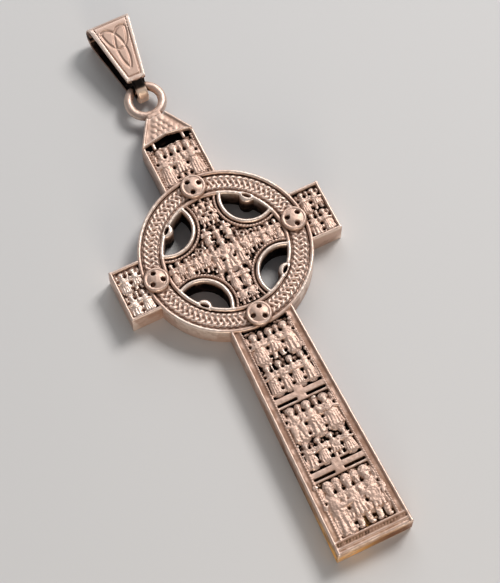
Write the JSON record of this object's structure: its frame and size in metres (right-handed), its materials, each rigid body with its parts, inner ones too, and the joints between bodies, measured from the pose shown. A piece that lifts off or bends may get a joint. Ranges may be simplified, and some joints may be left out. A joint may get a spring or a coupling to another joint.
{
  "type": "celtic cross pendant",
  "caption": "Cast silver ringed high cross pendant with carved relief panels, pierced wheel, round eyelet and a tapered folded bail, lying on its back.",
  "frame": {"origin": "centre of the wheel on the flat back face of the cross", "axes": "+X along the arms, +Y up the shaft towards the bail, +Z out of the carved front"},
  "size_m": [0.0244, 0.0648, 0.004],
  "materials": {
    "cast_silver": "oxidised cast silver with bright worn high points",
    "bail_silver": "soft polish with darkened engraved lines"
  },
  "bodies": {
    "root": {"cross": "cast_silver", "bail": "bail_silver"}
  },
  "joints": []
}
